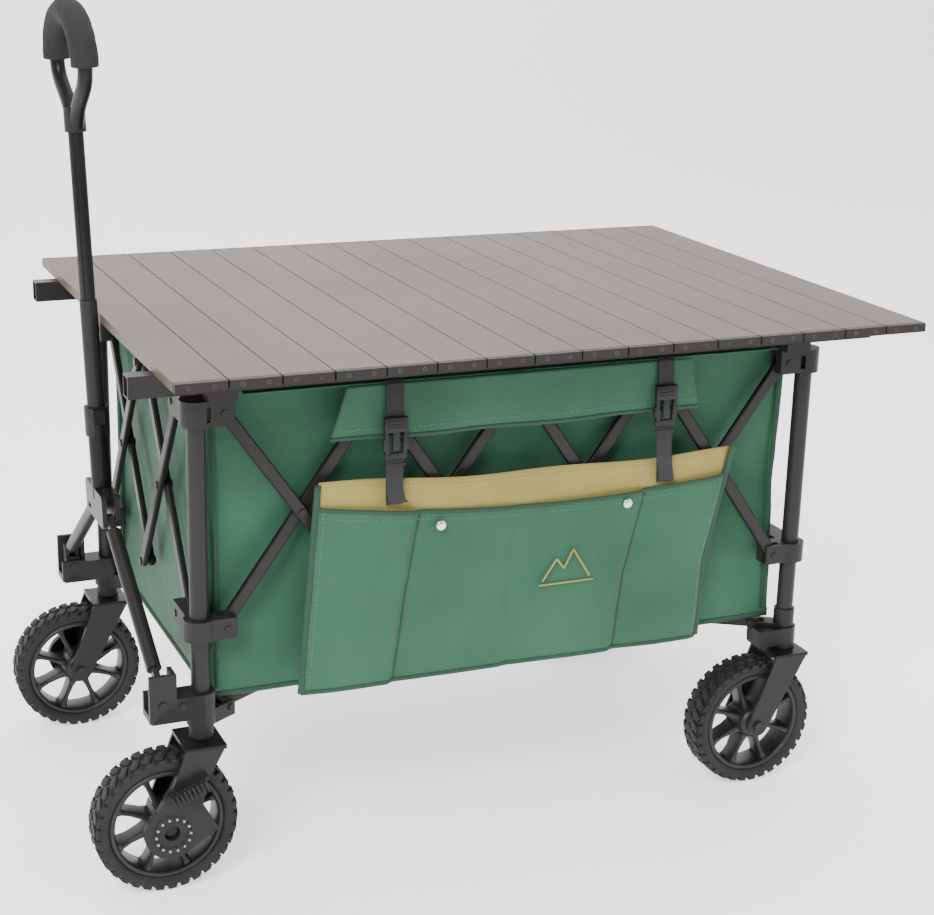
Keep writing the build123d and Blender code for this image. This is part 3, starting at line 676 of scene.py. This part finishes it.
# ---------------------------------------------------------------- floor struts
def strut(sx, sy):
    tag = ("front" if sx < 0 else "rear") + "_" + ("near" if sy < 0 else "far")
    away = Vector((sx * POST_X, sy * POST_Y, 0)).normalized()
    full = math.hypot(POST_X, POST_Y)
    start, end = 0.040, full - 0.038
    turn = Matrix.Rotation(math.atan2(away.y, away.x), 4, "Z")
    bm = bmesh.new()
    middle = away * (start + end) / 2 + Vector((0, 0, STRUT_Z))
    rounded_box(bm, middle, (end - start, 0.009, 0.0145), turn, 0.002)
    for place in (start + 0.012, (start + end) / 2, end - 0.010):
        spot = away * place + Vector((0, 0, STRUT_Z))
        across = Vector((-away.y, away.x, 0))
        rivet = [(0, -0.0072), (0.005, -0.0070), (0.0056, -0.0052), (0.0056, 0.0052), (0.005, 0.0070),
                 (0, 0.0072)]
        lathe(bm, rivet, spot, across, 16)
    piece = finish_mesh(f"floor_strut_{tag}", bm, PAINT)
    body = "post_" + tag
    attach(piece, body)
    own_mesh(piece)


for corner_x in (-1, 1):
    for corner_y in (-1, 1):
        strut(corner_x, corner_y)
bm = bmesh.new()
lathe(bm, [(0, -0.009), (0.027, -0.009), (0.034, -0.006), (0.034, 0.006), (0.030, 0.009), (0.012, 0.009),
           (0.010, 0.006), (0, 0.006)], (0, 0, STRUT_Z), (0, 0, 1), 40)
hub = finish_mesh("floor_strut_hub", bm, PLASTIC)
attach(hub, "basket_body")
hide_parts("floor_struts")


# ---------------------------------------------------------------- wheels
ROUND_TYRE, BLOCKS, SPOKES = 96, 34, 8


def wheel(tag):
    low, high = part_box("wheel_" + tag)
    centre = (low + high) / 2
    bm = bmesh.new()
    base = WHEEL_R - 0.0035
    side = HALF_W
    profile = [(0.0795, -side + 0.006), (0.083, -side + 0.002), (0.092, -side), (base - 0.004, -side + 0.003),
               (base, -side + 0.010), (base + 0.001, 0), (base, side - 0.010), (base - 0.004, side - 0.003),
               (0.092, side), (0.083, side - 0.002), (0.0795, side - 0.006)]
    rings = lathe(bm, profile, centre, (0, 1, 0), ROUND_TYRE)
    for k in range(ROUND_TYRE):
        after = (k + 1) % ROUND_TYRE
        bm.faces.new((rings[-1][k], rings[-1][after], rings[0][after], rings[0][k]))
    for k in range(BLOCKS):
        a = 2 * math.pi * k / BLOCKS
        for row in (-1, 1):
            b = a + row * math.pi / (2 * BLOCKS)
            out = Vector((math.cos(b), 0, math.sin(b)))
            spot = centre + out * (WHEEL_R - 0.0032) + Vector((0, row * 0.0112, 0))
            turn = Matrix.Rotation(-b, 4, "Y") @ Matrix.Rotation(row * 0.50, 4, "X")
            rounded_box(bm, spot, (0.0054, 0.0190, 0.0108), turn, 0.0010)
            lug = centre + out * (WHEEL_R - 0.0085) + Vector((0, row * (HALF_W - 0.0032), 0))
            rounded_box(bm, lug, (0.0120, 0.0050, 0.0120), Matrix.Rotation(-b, 4, "Y"), 0.0012)
    tyre = finish_mesh("tyre_" + tag, bm, RUBBER)
    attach(tyre, "wheel_" + tag)
    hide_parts("wheel_" + tag)

    bm = bmesh.new()
    for row in (-1, 1):
        dish = [(0.0800, row * 0.0215), (0.0780, row * 0.0235), (0.0740, row * 0.0228),
                (0.0725, row * 0.0190), (0.0720, row * 0.004)]
        lathe(bm, dish, centre, (0, 1, 0), 72)
        hub_line = [(0.0062, row * 0.0285), (0.0120, row * 0.0288), (0.0195, row * 0.0270),
                    (0.0235, row * 0.0225), (0.0245, row * 0.004)]
        lathe(bm, hub_line, centre, (0, 1, 0), 48)
    lathe(bm, [(0.0800, -0.0215), (0.0800, 0.0215)], centre, (0, 1, 0), 72)
    lathe(bm, [(0.0245, -0.004), (0.0245, 0.004)], centre, (0, 1, 0), 48)
    lathe(bm, [(0.0720, -0.004), (0.0720, 0.004)], centre, (0, 1, 0), 72)
    for k in range(SPOKES):
        a = 2 * math.pi * (k + 0.5) / SPOKES
        out = Vector((math.cos(a), 0, math.sin(a)))
        across = Vector((-math.sin(a), 0, math.cos(a)))
        rings = []
        for r, half, deep in ((0.0225, 0.0062, 0.0195), (0.036, 0.0040, 0.0165), (0.054, 0.0034, 0.0150),
                              (0.066, 0.0042, 0.0170), (0.0735, 0.0068, 0.0200)):
            spot = centre + out * r
            ring = [spot + across * half * sx + Vector((0, deep * sy, 0)) for sx, sy in
                    ((-1, -0.86), (-0.6, -1), (0.6, -1), (1, -0.86), (1, 0.86), (0.6, 1), (-0.6, 1),
                     (-1, 0.86))]
            rings.append([bm.verts.new(p) for p in ring])
        for p, q in zip(rings, rings[1:]):
            for i in range(8):
                bm.faces.new((p[i], p[(i + 1) % 8], q[(i + 1) % 8], q[i]))
        bm.faces.new(rings[0])
        bm.faces.new(rings[-1])
    rim = finish_mesh("rim_" + tag, bm, RIM)
    bevel = rim.modifiers.new("soft", "BEVEL")
    bevel.width, bevel.segments, bevel.limit_method = 0.0007, 1, "ANGLE"
    apply_modifiers(rim)
    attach(rim, "wheel_" + tag)
    return centre


CENTRES = {tag: wheel(tag) for tag in ("front_near", "front_far", "rear_near", "rear_far")}

# ratchet pins round the near and far brakes
PINS, PIN_RING = 14, 0.024
for tag in ("near", "far"):
    sy = -1 if tag == "near" else 1
    low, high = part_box("brake_front_" + tag)
    face = low.y if sy < 0 else high.y
    c = CENTRES["front_" + tag]
    bm = bmesh.new()
    for k in range(PINS):
        a = 2 * math.pi * k / PINS
        spot = Vector((c.x + PIN_RING * math.cos(a), face - sy * 0.006, c.z + PIN_RING * math.sin(a)))
        lathe(bm, [(0, 0.0062), (0.0018, 0.0060), (0.0022, 0.0045), (0.0022, -0.002)], spot, (0, sy, 0), 10)
    pins = finish_mesh("brake_pins_" + tag, bm, STEEL)
    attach(pins, "brake_front_" + tag)


# ---------------------------------------------------------------- foam grip
HANDLE_X, HANDLE_Z, LEAN, TWIST = -0.527, 0.278, math.radians(2.1), math.radians(5.0)
ARCH_H, ARCH_R, FOAM_R, BORE_R = 0.833, 0.064, 0.0188, 0.0130


def on_handle(h, y, u):
    u, y = u * math.cos(TWIST) - y * math.sin(TWIST), u * math.sin(TWIST) + y * math.cos(TWIST)
    return Vector((HANDLE_X + u * math.cos(LEAN) - h * math.sin(LEAN), y,
                   HANDLE_Z + u * math.sin(LEAN) + h * math.cos(LEAN)))


def foam_path(t):
    """Point and outward direction along the arch, t from 0 to 1."""
    if t < 0.04 or t > 0.96:
        side = -1 if t < 0.5 else 1
        drop = 0.0046 * (0.04 - min(t, 1 - t)) / 0.04
        return ARCH_H - drop, side * ARCH_R, (0.0, side)
    a = math.pi * (1 - (t - 0.04) / 0.92)
    return ARCH_H + ARCH_R * math.sin(a), ARCH_R * math.cos(a), (math.sin(a), math.cos(a))


bm = bmesh.new()
ROUND = 48
stations = [(0.0, BORE_R), (0.0, FOAM_R - 0.0022), (0.006, FOAM_R - 0.0006)]
stations += [(0.015 + 0.970 * i / 64, FOAM_R) for i in range(65)]
stations += [(0.994, FOAM_R - 0.0006), (1.0, FOAM_R - 0.0022), (1.0, BORE_R)]
rings = []
for t, r in stations:
    h, y, (out_h, out_y) = foam_path(t)
    ring = []
    for k in range(ROUND):
        a = 2 * math.pi * k / ROUND
        ridge, dent = 0.0, 0.0
        if r == FOAM_R:
            ridge = 0.00022 * math.cos(12 * a)
            dent = 0.0007 * noise.noise(Vector((t * 22, math.cos(a) * 2.2, math.sin(a) * 2.2)))
        reach = min(r + ridge + dent, 0.0190)
        ring.append(bm.verts.new(on_handle(h + out_h * reach * math.cos(a), y + out_y * reach * math.cos(a),
                                           reach * math.sin(a))))
    rings.append(ring)
for p, q in zip(rings, rings[1:]):
    for k in range(ROUND):
        bm.faces.new((p[k], p[(k + 1) % ROUND], q[(k + 1) % ROUND], q[k]))
bm.faces.new(rings[0])
bm.faces.new(rings[-1])
sleeve = finish_mesh("foam_sleeve", bm, FOAM)
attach(sleeve, "handle_upper")
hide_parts("grip_foam")


# ---------------------------------------------------------------- table trim
low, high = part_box("table_slats")
bm = bmesh.new()
count = round((high.x - low.x) / SLAT_PITCH)
for i in range(count):
    middle = low.x + SLAT_PITCH * (i + 0.5) - 0.0008
    for sy, face in ((-1, low.y), (1, high.y)):
        for dx in (-0.017, 0.017):
            spot = Vector((middle + dx, face - sy * 0.0006, (low.z + high.z) / 2))
            lathe(bm, [(0, 0.0004), (0.0016, 0.0006), (0.0026, 0.0010), (0.0031, 0.0008), (0.0033, -0.001)],
                  spot, (0, sy, 0), 14)
dots = finish_mesh("slat_cap_screws", bm, DULL)
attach(dots, "table")


# ---------------------------------------------------------------- stage, light, camera
bm = bmesh.new()
FLOOR_FRONT, FLOOR_BACK, SWEEP_R, BACK_HEIGHT, HALF_SPAN = -6.0, 4.0, 2.0, 9.0, 12.0
line = [(FLOOR_FRONT, 0.0), (FLOOR_BACK, 0.0)]
line += [(FLOOR_BACK + SWEEP_R * math.sin(a), SWEEP_R - SWEEP_R * math.cos(a)) for a in
         [math.pi / 2 * k / 16 for k in range(1, 17)]]
line.append((FLOOR_BACK + SWEEP_R, BACK_HEIGHT))
rows = [[bm.verts.new((x, y, z)) for x in (-HALF_SPAN, HALF_SPAN)] for y, z in line]
for a, b in zip(rows, rows[1:]):
    bm.faces.new((a[0], a[1], b[1], b[0]))
mat, tree, shader = new_material("pale_floor")
shader.inputs["Base Color"].default_value = (0.97, 0.97, 0.97, 1.0)
shader.inputs["Roughness"].default_value = 0.9
shader.inputs["Emission Color"].default_value = (1.0, 1.0, 1.0, 1.0)
shader.inputs["Emission Strength"].default_value = 0.95
backdrop = finish_mesh("backdrop", bm, mat)
backdrop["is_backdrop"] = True


def lamp(name, where, aim, size, energy):
    data = bpy.data.lights.new(name, "AREA")
    data.shape, data.size, data.energy = "SQUARE", size, energy
    light = bpy.data.objects.new(name, data)
    bpy.context.scene.collection.objects.link(light)
    light.location = where
    light.rotation_euler = (Vector(aim) - Vector(where)).to_track_quat("-Z", "Y").to_euler()


lamp("key", (-3.2, -3.6, 4.2), (0, 0, 0.4), 2.2, 400)
lamp("fill", (3.6, -3.4, 2.6), (0, 0, 0.4), 3.0, 90)
lamp("top", (0.4, 0.6, 4.6), (0, 0, 0.4), 3.6, 170)
world = bpy.data.worlds.new("studio")
bpy.context.scene.world = world
world.use_nodes = True
world.node_tree.nodes["Background"].inputs[0].default_value = (1.0, 1.0, 1.0, 1.0)
world.node_tree.nodes["Background"].inputs[1].default_value = 0.55

camera_data = bpy.data.cameras.new("camera")
camera_data.sensor_width, camera_data.lens = 36.0, 71.9
camera = bpy.data.objects.new("camera", camera_data)
bpy.context.scene.collection.objects.link(camera)
CAMERA_AT = (-1.0889, -2.5767, 1.3573)
YAW, PITCH, ROLL = 0.4147, 0.3006, 0.0261
forward = Vector((math.sin(YAW) * math.cos(PITCH), math.cos(YAW) * math.cos(PITCH), -math.sin(PITCH)))
right = Vector((math.cos(YAW), -math.sin(YAW), 0))
up = right.cross(forward)
rolled_right = right * math.cos(ROLL) + up * math.sin(ROLL)
rolled_up = up * math.cos(ROLL) - right * math.sin(ROLL)
turn = Matrix((rolled_right, rolled_up, -forward)).transposed()
camera.matrix_world = Matrix.Translation(CAMERA_AT) @ turn.to_4x4()
bpy.context.scene.camera = camera

low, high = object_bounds()
